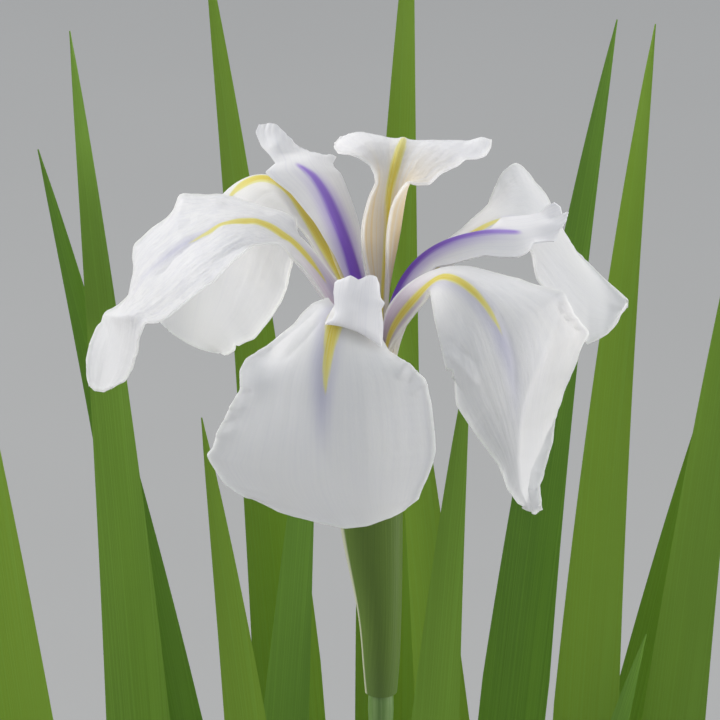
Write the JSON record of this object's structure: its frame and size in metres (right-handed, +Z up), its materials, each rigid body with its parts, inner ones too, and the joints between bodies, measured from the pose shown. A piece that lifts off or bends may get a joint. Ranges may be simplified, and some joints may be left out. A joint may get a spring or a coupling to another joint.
{
  "type": "potted rabbit-ear iris",
  "caption": "White rabbit-ear iris in open bloom above fans of upright sword leaves, growing in wet soil in a round terracotta pot.",
  "frame": {"origin": "centre of the pot's flat underside", "axes": "+Z up along the stem, -Y towards the flower's front fall (the side the picture was taken from), +X to the right seen from the front"},
  "size_m": [0.302, 0.224, 0.6418],
  "materials": {
    "petal": "soft satin, thin and translucent; stands in for living petal tissue",
    "style": "soft satin, thin, with a purple keel; stands in for living petal tissue",
    "anther": "matte, powdery; stands in for filament and pollen",
    "leaf": "satin with fine lengthwise veins; stands in for living leaf",
    "stem": "satin with a grey bloom; stands in for living stem and sheath",
    "soil": "wet, crumbly aquatic loam",
    "clay": "unglazed fired clay, matte"
  },
  "bodies": {
    "root": {"fall_front": "petal", "fall_left": "petal", "fall_right": "petal", "leaf_1_1": "leaf", "leaf_1_2": "leaf", "leaf_1_3": "leaf", "leaf_1_4": "leaf", "leaf_2_1": "leaf", "leaf_2_2": "leaf", "leaf_2_3": "leaf", "leaf_2_4": "leaf", "leaf_2_5": "leaf", "leaf_3_1": "leaf", "leaf_3_2": "leaf", "leaf_3_3": "leaf", "leaf_3_4": "leaf", "leaf_3_5": "leaf", "leaf_4_1": "leaf", "leaf_4_2": "leaf", "leaf_4_3": "leaf", "leaf_4_4": "leaf", "leaf_4_5": "leaf", "leaf_5_1": "leaf", "leaf_5_2": "leaf", "leaf_5_3": "leaf", "leaf_6_1": "leaf", "leaf_6_2": "leaf", "leaf_6_3": "leaf", "ovary": "stem", "pot": "clay", "soil": "soil", "spathe_inner": "stem", "spathe_outer": "stem", "stamen_front": "anther", "stamen_left": "anther", "stamen_right": "anther", "standard_back": "petal", "standard_left": "petal", "standard_right": "petal", "stem": "stem", "stem_leaf": "leaf", "style_front": "style", "style_left": "style", "style_right": "style"}
  },
  "joints": []
}
